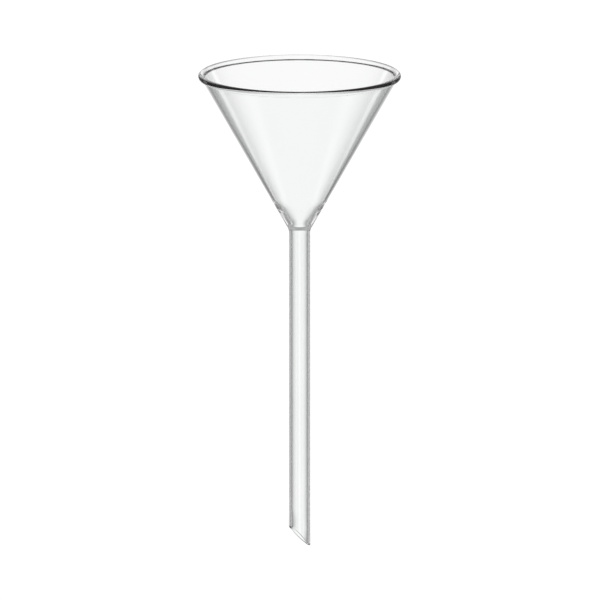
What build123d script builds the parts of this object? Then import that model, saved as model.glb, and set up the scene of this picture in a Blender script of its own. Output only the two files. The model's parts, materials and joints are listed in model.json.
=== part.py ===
from build123d import *
from math import acos, asin, atan2, cos, hypot, pi, radians, sin, tan
import os

# Long-stem filter funnel in borosilicate glass: an open cone with a beaded rim, sealed at its
# throat to a straight drawn tube whose end is ground to a slant and fire-polished.
# Millimetres. Z is the funnel's axis and points up, out of the mouth. The origin is on the
# axis at the throat: the level where the outside of the cone, carried on, meets the outside
# of the stem. The cone rises from there and the stem hangs below. The slant's long side is +X.

# Driving dimensions
mouth_diameter = 100.0      # over the rim bead
bead_diameter = 3.0         # of the round bead's own section
bead_proud = 1.1            # how far the bead stands out of the cone's outside
bead_root_radius = 0.6      # the soft corner under the bead
bead_skirt = 3.0            # height of wall shaped along with the bead, under the bead's middle
cone_angle = 59.0           # included; a 60 degree funnel, as blown cones measure
throat_wall = 1.25          # the cone's wall where it reaches the throat
throat_radius = 5.0         # outside, where the cone turns into the stem
seal_rise = 15.0            # height at which the cone's wall begins to thicken into the seal
seal_blend = 35.0           # inside radius where the wall begins to thicken
bore_mouth_rise = 3.6       # height of the bore's mouth
bore_mouth_radius = 2.5     # rounding of the bore's mouth
seal_margin = 4.0           # plain cone and plain tube worked along with the seal
stem_diameter = 10.5
stem_wall = 1.15
stem_length = 150.0         # from the throat to the short side of the slant
slant_angle = 44.0          # of the ground end, from level
slant_margin = 12.0         # plain tube worked along with the ground end
polish_radius = 0.45        # left on the ground edges by the flame

# What follows from them
half_angle = radians(cone_angle / 2)
slant = radians(slant_angle)
stem_radius = stem_diameter / 2
bore_radius = stem_radius - stem_wall
bead_radius = bead_diameter / 2

# The bead's middle, and the level where the bead's skirt is joined to the cone
bead_r = mouth_diameter / 2 - bead_radius
bead_inset = bead_radius - bead_proud
bead_z = (bead_r + bead_inset / cos(half_angle) - stem_radius) / tan(half_angle)
cone_top_z = bead_z - bead_skirt

# The inside of the cone is a straight line from the throat's wall to the inner side of the
# bead, which it touches, so the rim is smooth inside and stands proud only outside.
inside_foot_r = stem_radius - throat_wall / cos(half_angle)
bead_bearing = atan2(bead_r - inside_foot_r, bead_z)
inside_angle = bead_bearing - asin(bead_radius / hypot(bead_r - inside_foot_r, bead_z))

# Levels at the two ends of the seal, and at the top of the ground end
cone_foot_z = seal_rise + seal_margin
stem_top_z = -throat_radius * tan(half_angle / 2) - seal_margin
short_side_z = -stem_length
tip_top_z = short_side_z + slant_margin
sharp_point_z = short_side_z - stem_diameter * tan(slant)


def outside(z):
    """Point on the cone's outside at height z."""
    return Vector(stem_radius + z * tan(half_angle), 0, z)


def inside(z):
    """Point on the cone's inside at height z."""
    return Vector(inside_foot_r + z * tan(inside_angle), 0, z)


def outer_wall(z):
    """Point on the stem's outside at height z."""
    return Vector(stem_radius, 0, z)


def bore_wall(z):
    """Point on the stem's bore at height z."""
    return Vector(bore_radius, 0, z)


def on_bead(angle):
    """Point on the bead's section, angle in radians from outwards, turning upwards."""
    return Vector(bead_r + bead_radius * cos(angle), 0, bead_z + bead_radius * sin(angle))


def turned(edges, rounded=()):
    """Turn a closed outline about the axis, with (corner, radius) pairs rounded first."""
    face = make_face(edges)
    for corner, radius in rounded:
        face = fillet(face.vertices().sort_by_distance(corner)[0], radius)
    return revolve(face, Axis.Z, 360)


def rim_bead():
    """The flame-rounded bead, with the skirt of wall under it."""
    touch_angle = pi - inside_angle
    root_angle = -half_angle - acos(bead_inset / bead_radius)
    touch = on_bead(touch_angle)
    root = on_bead(root_angle)
    bead = ThreePointArc(touch, on_bead((touch_angle + root_angle) / 2), root)
    skirt = Polyline(root, outside(cone_top_z), inside(cone_top_z), touch)
    return turned([bead, skirt], [(root, bead_root_radius)])


def cone_bowl():
    """The plain cone between the seal and the rim."""
    outline = Polyline(
        inside(cone_foot_z), outside(cone_foot_z), outside(cone_top_z), inside(cone_top_z), close=True)
    return turned(outline)


def throat_seal():
    """The thick, rounded joint where the cone is fused to the stem."""
    corner = outer_wall(0)
    blend = inside(seal_rise)
    bore_mouth = bore_wall(bore_mouth_rise)
    outline = Polyline(
        inside(cone_foot_z), outside(cone_foot_z), corner, outer_wall(stem_top_z),
        bore_wall(stem_top_z), bore_mouth, blend, close=True)
    rounded = [(corner, throat_radius), (bore_mouth, bore_mouth_radius), (blend, seal_blend)]
    return turned(outline, rounded)


def tube(top_z, bottom_z):
    """A plain length of the stem."""
    outline = Polyline(
        bore_wall(bottom_z), outer_wall(bottom_z), outer_wall(top_z), bore_wall(top_z), close=True)
    return turned(outline)


def stem_tube():
    """The straight drawn tube."""
    return tube(stem_top_z, tip_top_z)


def stem_tip():
    """The end of the tube, ground to a slant, with its edges rounded by the flame."""
    short_side = Vector(-stem_radius, 0, short_side_z)
    ground_face = Plane(origin=short_side, z_dir=(sin(slant), 0, cos(slant)))
    blank = tube(tip_top_z, sharp_point_z - polish_radius)
    ground = split(blank, bisect_by=ground_face, keep=Keep.TOP)
    edges = ground.faces().sort_by(Axis((0, 0, 0), ground_face.z_dir))[0].edges()
    return fillet(edges, polish_radius)


os.makedirs("parts", exist_ok=True)
for make in (rim_bead, cone_bowl, throat_seal, stem_tube, stem_tip):
    export_step(make(), f"parts/{make.__name__}.step")
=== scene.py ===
# %% [markdown]
# # A long-stem filter funnel in clear borosilicate glass
#
# One funnel, all glass: a blown 60 degree cone with a beaded rim, a drawn tube for a stem, a thick fused
# throat between them, and a slanted, fire-polished tip. A glassblower makes it from a bowl and a tube and
# fuses them, so the glass has no joints, only zones. The frame holds one node for each zone, and each node
# gets one Blender piece here, with the same outline and a finer surface.

# %% Load the frame
import json
from math import acos, asin, atan2, ceil, cos, hypot, pi, radians, sin, tan

import bpy
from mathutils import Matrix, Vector


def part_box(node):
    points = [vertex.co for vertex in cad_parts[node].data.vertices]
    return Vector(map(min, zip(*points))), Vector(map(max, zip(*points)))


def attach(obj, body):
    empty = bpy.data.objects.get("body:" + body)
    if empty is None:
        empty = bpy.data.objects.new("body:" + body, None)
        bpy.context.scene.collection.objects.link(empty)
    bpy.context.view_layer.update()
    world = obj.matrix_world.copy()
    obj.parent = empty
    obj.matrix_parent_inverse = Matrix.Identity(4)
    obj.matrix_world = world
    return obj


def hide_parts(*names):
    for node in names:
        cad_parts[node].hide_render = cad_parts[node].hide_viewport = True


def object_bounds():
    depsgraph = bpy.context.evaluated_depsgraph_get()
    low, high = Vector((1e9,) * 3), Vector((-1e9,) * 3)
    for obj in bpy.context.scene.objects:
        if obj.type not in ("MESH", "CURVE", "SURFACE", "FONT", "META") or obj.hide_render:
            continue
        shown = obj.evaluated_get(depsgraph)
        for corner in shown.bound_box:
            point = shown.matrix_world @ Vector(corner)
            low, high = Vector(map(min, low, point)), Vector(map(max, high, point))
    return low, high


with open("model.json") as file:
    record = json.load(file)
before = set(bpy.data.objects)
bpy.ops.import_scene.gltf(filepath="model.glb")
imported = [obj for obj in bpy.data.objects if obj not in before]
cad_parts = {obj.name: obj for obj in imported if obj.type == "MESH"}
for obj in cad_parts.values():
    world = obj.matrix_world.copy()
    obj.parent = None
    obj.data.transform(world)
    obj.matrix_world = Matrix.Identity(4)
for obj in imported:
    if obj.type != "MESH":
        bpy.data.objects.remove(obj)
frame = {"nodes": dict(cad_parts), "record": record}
cad_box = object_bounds()
MM = 0.001
print("zones:", sorted(frame["nodes"]))
print("size in mm:", [round(side / MM, 1) for side in cad_box[1] - cad_box[0]])

# %% [markdown]
# ## The camera
#
# A slim, tall object is best seen from far away through a long lens, so that the rim and the tip are seen
# from nearly the same height and the sides of the stem stay parallel. Lens and distance go together: the
# width of what is seen, divided by the distance, is the sensor's width divided by the lens.

# %% Camera
camera_distance = 7.424
camera_pitch = radians(11.77)
seen_width = 0.2966
aim_above_middle = 4.9 * MM
aim_right_of_middle = 0.2 * MM

middle = (cad_box[0] + cad_box[1]) / 2
aim = Vector((aim_right_of_middle, 0, middle.z + aim_above_middle))
lens = bpy.data.cameras.new("camera")
lens.sensor_width = 36
lens.lens = lens.sensor_width * camera_distance / seen_width
lens.clip_end = 100
camera = bpy.data.objects.new("camera", lens)
camera.location = aim + camera_distance * Vector((0, -cos(camera_pitch), sin(camera_pitch)))
camera.rotation_euler = (pi / 2 - camera_pitch, 0, 0)
scene = bpy.context.scene
scene.collection.objects.link(camera)
scene.camera = camera
print("lens in mm:", round(lens.lens))

# %% [markdown]
# ## Shader maths as Python
#
# Glass is lit by rules such as "white within twenty degrees of straight behind", and those are easier to
# read as expressions than as wires. `Term` wraps one socket, so that adding or multiplying two terms adds
# the Math node that does it. `Tree` makes every other node: the kind, its settings, then its sockets.

# %% Node helpers
class Term:
    def __init__(self, tree, socket):
        self.tree = tree
        self.socket = socket

    def maths(self, operation, *others):
        values = dict(enumerate((self, *others)))
        return self.tree.node("ShaderNodeMath", {"operation": operation}, values)

    def __add__(self, other):
        return self.maths("ADD", other)

    def __mul__(self, other):
        return self.maths("MULTIPLY", other)

    def __sub__(self, other):
        return self.maths("SUBTRACT", other)

    def __rsub__(self, other):
        return (self * -1) + other

    def __truediv__(self, other):
        return self.maths("DIVIDE", other)

    def __rtruediv__(self, other):
        return self ** -1 * other

    def __pow__(self, other):
        return self.maths("POWER", other)

    __radd__ = __add__
    __rmul__ = __mul__

    def ramp(self, start, end):
        """0 before start, 1 after end, smooth between them."""
        sockets = {"Value": self, "From Min": start, "From Max": end, "To Min": 0.0, "To Max": 1.0}
        return self.tree.node("ShaderNodeMapRange", {"interpolation_type": "SMOOTHSTEP"}, sockets)


class Tree:
    def __init__(self, nodes_and_links):
        self.nodes = nodes_and_links.nodes
        self.links = nodes_and_links.links

    def node(self, kind, settings=None, sockets=None, output=0):
        """Adds a node: its settings first, then its sockets' values or links. Gives one output back."""
        made = self.nodes.new(kind)
        for name, value in (settings or {}).items():
            setattr(made, name, value)
        for name, value in (sockets or {}).items():
            if isinstance(value, Term):
                self.links.new(value.socket, made.inputs[name])
            else:
                made.inputs[name].default_value = value
        return Term(self, made.outputs[output]) if made.outputs else made

    def parts(self, vector):
        """The three parts of a vector, as terms."""
        split = self.node("ShaderNodeSeparateXYZ", sockets={0: vector}).socket.node
        return [Term(self, part) for part in split.outputs]


print("operators:", [name for name in vars(Term) if name.startswith("__") and name != "__init__"])

# %% [markdown]
# ## The studio: light for clear glass
#
# Clear glass has almost no colour of its own. It shows what stands behind it, bent, so it is drawn by its
# surroundings: a white panel straight behind makes the thin walls white, and the darker room beside the
# panel is what the thick curved edges bend towards the eye, as dark lines. This is called bright-field
# light. The room here is the world's own shader: eight upright white panels evenly round the funnel, wide
# ones at its four sides and narrow, crisper ones on the diagonals, with a lit floor below and a softly lit
# ceiling. Each panel fades sideways, as a lamp behind a diffuser does, and that fade is what shades the
# cone towards its edges. Seen from between two panels the glass shows the darker room and looks smoky,
# which no fixed bright-field light avoids. The camera itself sees plain white, whichever way it looks.

# %% Room and panels
wide_panel, narrow_panel = 13.5, 4
wide_fade, narrow_fade = 2.4, 5
panels = [(azimuth, wide_panel, wide_fade) for azimuth in range(0, 360, 90)]
panels += [(azimuth, narrow_panel, narrow_fade) for azimuth in range(45, 360, 90)]
panel_foot, panel_head = -60, 16
panel_edge = 4
room_light = 0.07
floor_light, floor_start, floor_full = 0.7, -35, -65
ceiling_light, ceiling_start, ceiling_full = 0.45, 10, 28

world = bpy.data.worlds.new("studio")
world.use_nodes = True
world.node_tree.nodes.clear()
scene.world = world
room = Tree(world.node_tree)
across, away, up = room.parts(room.node("ShaderNodeTexCoord", output="Generated"))
in_degrees = 180 / pi
elevation = up.maths("ARCSINE") * in_degrees
azimuth = across.maths("ARCTAN2", away) * in_degrees

panel_light = 0
for panel_azimuth, half_width, panel_fade in panels:
    aside = (azimuth - panel_azimuth).maths("WRAP", 180.0, -180.0).maths("ABSOLUTE")
    panel_light = 1 / (1 + (aside / half_width) ** panel_fade) + panel_light
above_foot = elevation.ramp(panel_foot - panel_edge, panel_foot + panel_edge)
below_head = 1 - elevation.ramp(panel_head - panel_edge, panel_head + panel_edge)
panel_light = (panel_light * above_foot * below_head).maths("MINIMUM", 1.0)
from_floor = elevation.ramp(floor_start, floor_full) * (floor_light - room_light)
from_ceiling = elevation.ramp(ceiling_start, ceiling_full) * (ceiling_light - room_light)
unlit = room_light + from_floor + from_ceiling
light = unlit + panel_light * (1 - unlit)
seen_directly = room.node("ShaderNodeLightPath", output="Is Camera Ray")
light = light.maths("MAXIMUM", seen_directly)
surroundings = room.node("ShaderNodeBackground", sockets={"Color": light, "Strength": 1.0})
room.node("ShaderNodeOutputWorld", sockets={"Surface": surroundings})
scene.view_settings.view_transform = "Standard"
print("white panels at:", [panel[0] for panel in panels], "degrees")

# %% [markdown]
# Light that enters the rim or the cut end runs along inside the wall and is reflected many times before it
# leaves. If a ray is dropped after a dozen turns, those places go black, so it is followed for longer.

# %% Light paths
most_surfaces = 40
most_reflections = 24
scene.cycles.max_bounces = most_surfaces
scene.cycles.transmission_bounces = most_surfaces
scene.cycles.glossy_bounces = most_reflections
print("a ray is followed through", most_surfaces, "surfaces")

# %% [markdown]
# The floor is a plain white plane just below the tip. Only the camera sees it, because the room's own
# shader already has the floor that the glass sees.

# %% Floor
floor_side = 80.0
floor_gap = 0.6 * MM
floor_white = 1.05


def plane(name, corners):
    mesh = bpy.data.meshes.new(name)
    mesh.from_pydata(corners, [], [(0, 1, 2, 3)])
    made = bpy.data.objects.new(name, mesh)
    scene.collection.objects.link(made)
    return made


half = floor_side / 2
floor_z = cad_box[0].z - floor_gap
floor = plane("floor", [(x * half, y * half, floor_z) for x, y in ((-1, -1), (1, -1), (1, 1), (-1, 1))])
paper = bpy.data.materials.new("white_paper")
paper.use_nodes = True
paper.node_tree.nodes.clear()
sheet = Tree(paper.node_tree)
glow = sheet.node("ShaderNodeEmission", sockets={"Color": (1, 1, 1, 1), "Strength": floor_white})
sheet.node("ShaderNodeOutputMaterial", sockets={"Surface": glow})
floor.data.materials.append(paper)
for ray in ("diffuse", "glossy", "transmission", "volume_scatter", "shadow"):
    setattr(floor, f"visible_{ray}", False)
print("floor at", round(floor_z / MM, 2), "mm")

# %% [markdown]
# ## The glass
#
# Borosilicate glass bends light by 1.473 and is colourless to the eye, with a trace of green where it is
# thick. What tells glass from a perfect formula is its surface. A drawn tube has faint lines along its
# length from the die, a blown cone has broad soft ripples, and glass worked in the flame is rounder still.
# So there is one recipe, with a ripple whose length around and along the piece differs between the three.

# %% Glass recipe
refraction = 1.473
thin_tint = (0.990, 0.996, 0.993, 1)
deep_tint = (0.972, 0.988, 0.980, 1)


def clear_glass(name, ripple_around, ripple_along, ripple_depth):
    """Clear glass with a ripple of the given length around and along the axis, and depth, in metres."""
    finish = bpy.data.materials.new(name)
    finish.use_nodes = True
    finish.node_tree.nodes.clear()
    recipe = Tree(finish.node_tree)
    place = recipe.node("ShaderNodeTexCoord", output="Object")
    scale = (1 / ripple_around, 1 / ripple_around, 1 / ripple_along)
    stretched = recipe.node("ShaderNodeMapping", sockets={"Vector": place, "Scale": scale})
    noise = {"Vector": stretched, "Scale": 1.0, "Detail": 2.0, "Roughness": 0.45}
    ripple = recipe.node("ShaderNodeTexNoise", sockets=noise)
    drift = recipe.node("ShaderNodeTexNoise", sockets={"Vector": place, "Scale": 18.0, "Detail": 1.0})
    tint = recipe.node(
        "ShaderNodeMix",
        {"data_type": "RGBA"},
        {0: drift.ramp(0.3, 0.7), 6: thin_tint, 7: deep_tint},
        output=2,
    )
    bump = recipe.node("ShaderNodeBump", sockets={"Height": ripple, "Strength": 1.0, "Distance": ripple_depth})
    glass = recipe.node(
        "ShaderNodeBsdfPrincipled",
        sockets={
            "Base Color": tint,
            "Normal": bump,
            "Transmission Weight": 1.0,
            "Roughness": 0.0,
            "IOR": refraction,
        },
    )
    recipe.node("ShaderNodeOutputMaterial", sockets={"Surface": glass})
    return finish


blown_glass = clear_glass("blown_glass", 14 * MM, 20 * MM, 0.012 * MM)
drawn_glass = clear_glass("drawn_glass", 1.6 * MM, 60 * MM, 0.0015 * MM)
flame_worked_glass = clear_glass("flame_worked_glass", 5 * MM, 5 * MM, 0.006 * MM)
print("finishes:", [finish.name for finish in (blown_glass, drawn_glass, flame_worked_glass)])

# %% [markdown]
# ## The funnel's outline
#
# The whole funnel is round, so one outline, as radius and height, says nearly everything. Its sizes are
# few: the cone's angle, the bead's bar and how far it stands out of the wall, and the wall where the cone
# meets the stem. The stem's radii come from the frame's mounts and the zones' ends from the frame's boxes.

# %% Outline sizes
cone_angle = radians(59.0)
half_angle = cone_angle / 2
bead_radius = 1.5 * MM
bead_proud = 1.1 * MM
throat_wall = 1.25 * MM

mounts = {mount["name"]: mount for mount in frame["record"]["mounts"]}
stem_radius = mounts["stem_outside"]["dims"]["r_mm"] * MM
bore_radius = mounts["stem_bore"]["dims"]["r_mm"] * MM
cone_foot_z, cone_top_z = (corner.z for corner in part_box("cone_bowl"))
stem_foot_z, stem_top_z = (corner.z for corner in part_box("stem_tube"))
sharp_tip_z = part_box("stem_tip")[0].z

bead_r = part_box("rim_bead")[1].x - bead_radius
bead_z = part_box("rim_bead")[1].z - bead_radius
bead_inset = bead_radius - bead_proud
inner_foot_r = stem_radius - throat_wall / cos(half_angle)
to_bead = hypot(bead_r - inner_foot_r, bead_z)
inner_angle = atan2(bead_r - inner_foot_r, bead_z) - asin(bead_radius / to_bead)


def outside(z):
    return stem_radius + z * tan(half_angle), z


def inside(z):
    return inner_foot_r + z * tan(inner_angle), z


rim_wall = (outside(cone_top_z)[0] - inside(cone_top_z)[0]) * cos(half_angle)
print("wall at the throat and the rim in mm:", throat_wall / MM, round(rim_wall / MM, 2))

# %% [markdown]
# ## Cone and stem: one rule, two walls
#
# Between the worked zones, the funnel is two plain walls: a hollow cone and a hollow tube. Both follow the
# same rule, a straight slope turned about the axis, so one Geometry Nodes tree makes both. It rolls up
# a flat grid: a point's place across the grid becomes an angle, and its place along the grid a height.
# A little seeded noise swells the wall as hand-made glass does, and dies out at both ends, where the
# neighbouring zones join it ring to ring. The inner skin is the same roll with its faces flipped.

# %% Wall tree
segments = 384


def wall_tree():
    tree = bpy.data.node_groups.new("wall_of_revolution", "GeometryNodeTree")
    sizes = ("Foot", "Top", "Outer Foot Radius", "Outer Top Radius", "Inner Foot Radius", "Inner Top Radius")
    for name in (*sizes, "Swell", "Swell Length"):
        tree.interface.new_socket(name=name, in_out="INPUT", socket_type="NodeSocketFloat")
    for name in ("Rows", "Segments", "Seed"):
        tree.interface.new_socket(name=name, in_out="INPUT", socket_type="NodeSocketInt")
    tree.interface.new_socket(name="Glass", in_out="INPUT", socket_type="NodeSocketMaterial")
    tree.interface.new_socket(name="Wall", in_out="OUTPUT", socket_type="NodeSocketGeometry")
    wall = Tree(tree)
    given = {s.name: Term(wall, s) for s in tree.nodes.new("NodeGroupInput").outputs if s.name}

    grid_size = {
        "Size X": 1.0,
        "Size Y": 1.0,
        "Vertices X": given["Segments"] + 1,
        "Vertices Y": given["Rows"] + 1,
    }
    grid = wall.node("GeometryNodeMeshGrid", sockets=grid_size)
    sideways, upwards, _ = wall.parts(wall.node("GeometryNodeInputPosition"))
    angle = (sideways + 0.5) * (2 * pi)
    along = upwards + 0.5
    z = given["Foot"] + along * (given["Top"] - given["Foot"])
    unit_x, unit_y = angle.maths("COSINE"), angle.maths("SINE")
    dies_out = 16 * (along * (1 - along)) ** 2

    def skin(foot_radius, top_radius, seed):
        radius = foot_radius + along * (top_radius - foot_radius)
        point = wall.node("ShaderNodeCombineXYZ", sockets={0: radius * unit_x, 1: radius * unit_y, 2: z})
        lengths = wall.node(
            "ShaderNodeVectorMath",
            {"operation": "SCALE"},
            {0: point, "Scale": 1 / given["Swell Length"]},
        )
        noise = {"Vector": lengths, "W": seed, "Scale": 1.0, "Detail": 1.0}
        uneven = wall.node("ShaderNodeTexNoise", {"noise_dimensions": "4D"}, noise) - 0.5
        swollen = radius + uneven * dies_out * given["Swell"]
        rolled = wall.node("ShaderNodeCombineXYZ", sockets={0: swollen * unit_x, 1: swollen * unit_y, 2: z})
        return wall.node("GeometryNodeSetPosition", sockets={"Geometry": grid, "Position": rolled})

    outer = skin(given["Outer Foot Radius"], given["Outer Top Radius"], given["Seed"])
    inner = skin(given["Inner Foot Radius"], given["Inner Top Radius"], given["Seed"] + 7)
    inner = wall.node("GeometryNodeFlipFaces", sockets={"Mesh": inner})
    joined = tree.nodes.new("GeometryNodeJoinGeometry")
    for skin_socket in (inner.socket, outer.socket):
        tree.links.new(skin_socket, joined.inputs[0])
    closed = wall.node(
        "GeometryNodeMergeByDistance",
        sockets={"Geometry": Term(wall, joined.outputs[0]), "Distance": 0.001 * MM},
    )
    smooth = wall.node("GeometryNodeSetShadeSmooth", sockets={"Geometry": closed})
    real = wall.node("GeometryNodeRealizeInstances", sockets={"Geometry": smooth})
    glazed = wall.node("GeometryNodeSetMaterial", sockets={"Geometry": real, "Material": given["Glass"]})
    wall.node("NodeGroupOutput", sockets={"Wall": glazed})
    return tree


wall_of_revolution = wall_tree()
inputs = [s.name for s in wall_of_revolution.interface.items_tree if s.in_out == "INPUT"]
print("wall tree's inputs:", inputs)

# %% [markdown]
# A modifier's input is known by its socket's identifier, so `rolled_wall` looks each one up by name. The
# evaluated result becomes the piece's own plain mesh, and the modifier goes.

# %% Roll the cone and the stem
def add_piece(name, mesh):
    piece = bpy.data.objects.new(name, mesh)
    scene.collection.objects.link(piece)
    return piece


def rolled_wall(name, values):
    piece = add_piece(name, bpy.data.meshes.new(name))
    roll = piece.modifiers.new("roll", "NODES")
    roll.node_group = wall_of_revolution
    for socket in wall_of_revolution.interface.items_tree:
        if socket.in_out == "INPUT":
            roll[socket.identifier] = values[socket.name]
    evaluated = piece.evaluated_get(bpy.context.evaluated_depsgraph_get())
    rolled = bpy.data.meshes.new_from_object(evaluated)
    piece.modifiers.remove(roll)
    piece.data = rolled
    rolled.name = name
    print(name, len(rolled.polygons), "faces")
    return piece


cone = rolled_wall(
    "cone_bowl_glass",
    {
        "Foot": cone_foot_z,
        "Top": cone_top_z,
        "Outer Foot Radius": outside(cone_foot_z)[0],
        "Outer Top Radius": outside(cone_top_z)[0],
        "Inner Foot Radius": inside(cone_foot_z)[0],
        "Inner Top Radius": inside(cone_top_z)[0],
        "Swell": 0.10 * MM,
        "Swell Length": 28 * MM,
        "Rows": 60,
        "Segments": segments,
        "Seed": 3,
        "Glass": blown_glass,
    },
)
stem = rolled_wall(
    "stem_tube_glass",
    {
        "Foot": stem_foot_z,
        "Top": stem_top_z,
        "Outer Foot Radius": stem_radius,
        "Outer Top Radius": stem_radius,
        "Inner Foot Radius": bore_radius,
        "Inner Top Radius": bore_radius,
        "Swell": 0.04 * MM,
        "Swell Length": 22 * MM,
        "Rows": 100,
        "Segments": segments,
        "Seed": 5,
        "Glass": drawn_glass,
    },
)

# %% [markdown]
# ## Turning an outline by hand
#
# The bead and the throat have arcs in their outlines, so they are turned as on a lathe: the outline is
# a list of points, and each point becomes a ring. An outline that runs up the inside of the glass and down
# the outside gives faces that point out of the glass. `rounded` turns corners into arcs, and `run` adds short
# steps at both ends of a straight run, so that the smooth shading doesn't creep along it.

# %% Lathe helpers
arc_step = radians(2)
edge_step = 0.15 * MM


def between(a, b, share):
    return tuple(p + (q - p) * share for p, q in zip(a, b))


def arc(centre, radius, start, end):
    """Points on an arc about centre, from the angle start to the angle end."""
    steps = max(2, ceil(abs(end - start) / arc_step))
    angles = [start + (end - start) * step / steps for step in range(steps + 1)]
    return [(centre[0] + radius * cos(angle), centre[1] + radius * sin(angle)) for angle in angles]


def rounded(before, corner, after, radius):
    """The arc that rounds a corner between two straight runs."""
    start, end = ((p[0] - corner[0], p[1] - corner[1]) for p in (before, after))
    first, last = atan2(start[1], start[0]), atan2(end[1], end[0])
    opening = (last - first + pi) % (2 * pi) - pi
    middle_angle = first + opening / 2
    reach = radius / sin(abs(opening) / 2)
    centre = (corner[0] + reach * cos(middle_angle), corner[1] + reach * sin(middle_angle))
    turn = (pi - abs(opening)) * (1 if opening > 0 else -1)
    facing = middle_angle + pi
    return arc(centre, radius, facing + turn / 2, facing - turn / 2)


def run(a, b, longest):
    """Points inside a straight run from a to b, closer together at its ends."""
    length = hypot(b[0] - a[0], b[1] - a[1])
    count = max(1, ceil(length / longest))
    near = min(edge_step / length, 0.25 / count)
    shares = [near] + [step / count for step in range(1, count)] + [1 - near]
    return [between(a, b, share) for share in shares]


def turned(name, skins, glass, uneven=None):
    """A mesh of revolution. A skin is a list of (radius, height), up the inside and down the outside."""
    points = []
    faces = []
    for outline in skins:
        for ring, (radius, z) in enumerate(outline):
            first = len(points)
            for segment in range(segments):
                angle = 2 * pi * segment / segments
                r = radius + (uneven(radius, z, angle) if uneven else 0)
                points.append((r * cos(angle), r * sin(angle), z))
                if ring:
                    beside = first + (segment + 1) % segments
                    this = first + segment
                    faces.append((this - segments, this, beside, beside - segments))
    mesh = bpy.data.meshes.new(name)
    mesh.from_pydata(points, [], faces)
    mesh.shade_smooth()
    mesh.materials.append(glass)
    print(name, len(faces), "faces")
    return add_piece(name, mesh)


# %% [markdown]
# ## The rim bead
#
# The rim is melted back on itself until it draws up into a round bar. Inside, the cone's wall runs into the
# bead without a step. Outside, the bead stands proud of the wall, with a small hollow where they meet.

# %% Rim bead
bead_root_radius = 0.6 * MM
skirt_step = 0.8 * MM


def bead_outline():
    centre = (bead_r, bead_z)
    touch_angle = pi - inner_angle
    touch = (bead_r + bead_radius * cos(touch_angle), bead_z + bead_radius * sin(touch_angle))
    # the hollow's centre is one radius off the bead and one off the outside wall
    off_wall = bead_inset + bead_root_radius
    apart = bead_radius + bead_root_radius
    hollow_angle = -half_angle - acos(off_wall / apart)
    hollow = (bead_r + apart * cos(hollow_angle), bead_z + apart * sin(hollow_angle))
    over = arc(centre, bead_radius, touch_angle, hollow_angle)
    root = arc(hollow, bead_root_radius, hollow_angle + pi, pi - half_angle)
    foot_in, foot_out = inside(cone_top_z), outside(cone_top_z)
    up_inside = [foot_in, *run(foot_in, touch, skirt_step)]
    down_outside = [*run(root[-1], foot_out, skirt_step), foot_out]
    return up_inside + over + root[1:] + down_outside


bead = turned("rim_bead_glass", [bead_outline()], flame_worked_glass)
bead_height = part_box("rim_bead")[1].z - cone_top_z
print("bead zone's height in mm:", round(bead_height / MM, 2))

# %% [markdown]
# ## The throat seal
#
# Here the stem is fused to the cone. The outside is drawn into a soft curve. Inside, the glass gathers: the
# cone's wall thickens over its last centimetre and a half and turns into the bore. It is the one place
# where the hand shows, so the gathered glass is a little thicker on one side, by a few waves around the
# axis that grow from nothing at the ends of the zone.

# %% Throat seal
throat_radius = 5.0 * MM
seal_rise = 15.0 * MM
seal_blend = 35.0 * MM
bore_mouth_rise = 3.6 * MM
bore_mouth_radius = 2.5 * MM
seal_step = 1.0 * MM
gather_middle = 9.0 * MM
gather_reach = 9.0 * MM
gather_waves = ((1, 0.06 * MM, 0.4), (2, 0.03 * MM, 1.9), (3, 0.02 * MM, 4.1))


def with_corners(points, radii):
    """An outline through points, with the inner ones rounded."""
    bends = [[points[0]]]
    for before, corner, after, radius in zip(points, points[1:], points[2:], radii):
        bends.append(rounded(before, corner, after, radius))
    bends.append([points[-1]])
    outline = list(bends[0])
    for bend in bends[1:]:
        outline += run(outline[-1], bend[0], seal_step) + bend
    return outline


def gathered(radius, z, angle):
    """How much the bore side of the seal is pushed out or in at a point."""
    if radius > outside(z)[0] - 0.5 * throat_wall:
        return 0
    near = max(0, 1 - ((z - gather_middle) / gather_reach) ** 2)
    return near ** 2 * sum(size * cos(count * angle + phase) for count, size, phase in gather_waves)


seal_outside = with_corners(
    [outside(cone_foot_z), (stem_radius, 0), (stem_radius, stem_top_z)],
    [throat_radius],
)
seal_inside = with_corners(
    [(bore_radius, stem_top_z), (bore_radius, bore_mouth_rise), inside(seal_rise), inside(cone_foot_z)],
    [bore_mouth_radius, seal_blend],
)
seal = turned("throat_seal_glass", [seal_outside, seal_inside], flame_worked_glass, gathered)

# %% [markdown]
# ## The slanted tip
#
# The stem ends in a slant, so that drops gather and fall at its long side and the short side leaves room
# for air. The cut is ground flat and its edges are melted round. It isn't a shape of revolution, but each
# ring of the tube still has its place at every angle: it runs down the wall to the slant, round the edge,
# across the flat and up the bore. A round edge is a ball's path: its centre keeps one polish radius off
# the wall and off the cut, and the surface turns about that centre from the wall's direction to the cut's.
# The flame also softens the last centimetre, so the bore draws in a little there and the outside swells.

# %% Tip
slant = radians(44.0)
polish_radius = 0.45 * MM
wall_rings = 24
edge_rings = 16
last_ring_gap = 0.3
flat_shares = (0.1, 0.5, 0.9)
melt_reach = 10.0 * MM
melt_bore = 0.18 * MM
melt_outside = 0.06 * MM

polish_loss = polish_radius * (1 / tan((pi / 2 - slant) / 2) - 1)
short_side_z = sharp_tip_z - polish_loss + 2 * stem_radius * tan(slant)
cut_normal = Vector((-sin(slant), 0, -cos(slant)))


def ball_centre(radius, around):
    """The centre of the edge's ball, at a radius from the axis, in the direction around."""
    x, y = radius * around.x, radius * around.y
    cut_z = short_side_z - (x + stem_radius) * tan(slant)
    return Vector((x, y, cut_z + polish_radius / cos(slant)))


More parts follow.
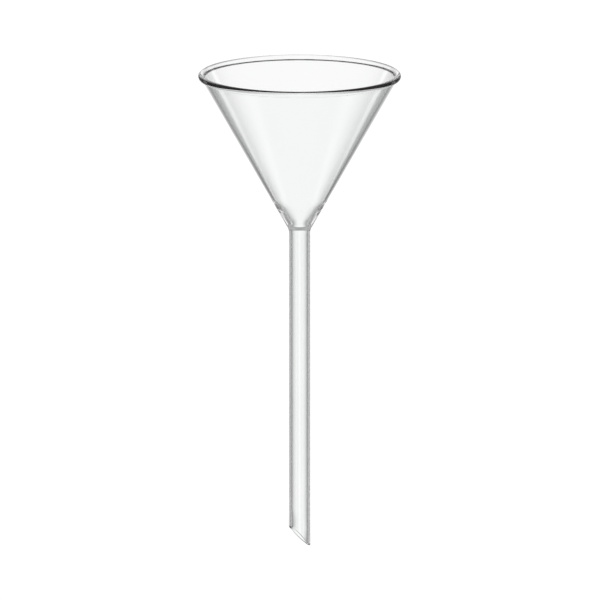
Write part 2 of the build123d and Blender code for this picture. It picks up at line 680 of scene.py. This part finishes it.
def wall_points(around, radius, melt, end_z, shares):
    """Points down one wall, whose radius changes by melt where it reaches the cut, and not at the top."""
    points = []
    for share in shares:
        z = stem_foot_z + (end_z - stem_foot_z) * share
        softened = max(0, 1 - ((z - end_z) / melt_reach) ** 2) ** 2
        points.append((radius + melt * softened) * around + Vector((0, 0, z)))
    return points


def column(around):
    """The points of one column: down the outside, round the cut and up the bore."""
    outer = ball_centre(stem_radius + melt_outside - polish_radius, around)
    inner = ball_centre(bore_radius - melt_bore + polish_radius, around)
    down = [k / wall_rings for k in range(wall_rings)] + [1 - last_ring_gap / wall_rings]
    points = wall_points(around, stem_radius, melt_outside, outer.z, down)
    turns = [k / edge_rings for k in range(edge_rings + 1)]
    points += [outer + polish_radius * around.slerp(cut_normal, k) for k in turns]
    flat = [centre + polish_radius * cut_normal for centre in (outer, inner)]
    points += [flat[0].lerp(flat[1], k) for k in flat_shares]
    points += [inner + polish_radius * cut_normal.slerp(-around, k) for k in turns]
    points += wall_points(around, bore_radius, -melt_bore, inner.z, reversed(down))
    return points


def slanted_tip(name, glass):
    angles = [2 * pi * segment / segments for segment in range(segments)]
    columns = [column(Vector((cos(angle), sin(angle), 0))) for angle in angles]
    count = len(columns[0])
    points = [point for points in columns for point in points]
    faces = []
    for segment in range(segments):
        this, beside = segment * count, (segment + 1) % segments * count
        faces += [(this + k, this + k + 1, beside + k + 1, beside + k) for k in range(count - 1)]
    mesh = bpy.data.meshes.new(name)
    mesh.from_pydata(points, [], faces)
    mesh.shade_smooth()
    mesh.materials.append(glass)
    print(name, len(faces), "faces")
    return add_piece(name, mesh)


tip = slanted_tip("stem_tip_glass", drawn_glass)

# %% [markdown]
# ## Hand over to the frame
#
# Each piece takes the place of its zone's node, which is hidden, and holds this script's glass. Nothing on a
# funnel moves, so all of them ride on the one body. A skin that faces the wrong way would turn the glass
# inside out, so the glass each piece holds is measured and printed: its skins' outward flow, added over all
# five, is the whole volume when every skin faces out.

# %% Pieces and zones
zones = {"rim_bead": bead, "cone_bowl": cone, "throat_seal": seal, "stem_tube": stem, "stem_tip": tip}
volume = 0
for node, piece in zones.items():
    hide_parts(node)
    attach(piece, "root")
    volume += sum(face.center.dot(face.normal) * face.area for face in piece.data.polygons) / 3
print("glass in cubic mm:", round(volume / MM ** 3))
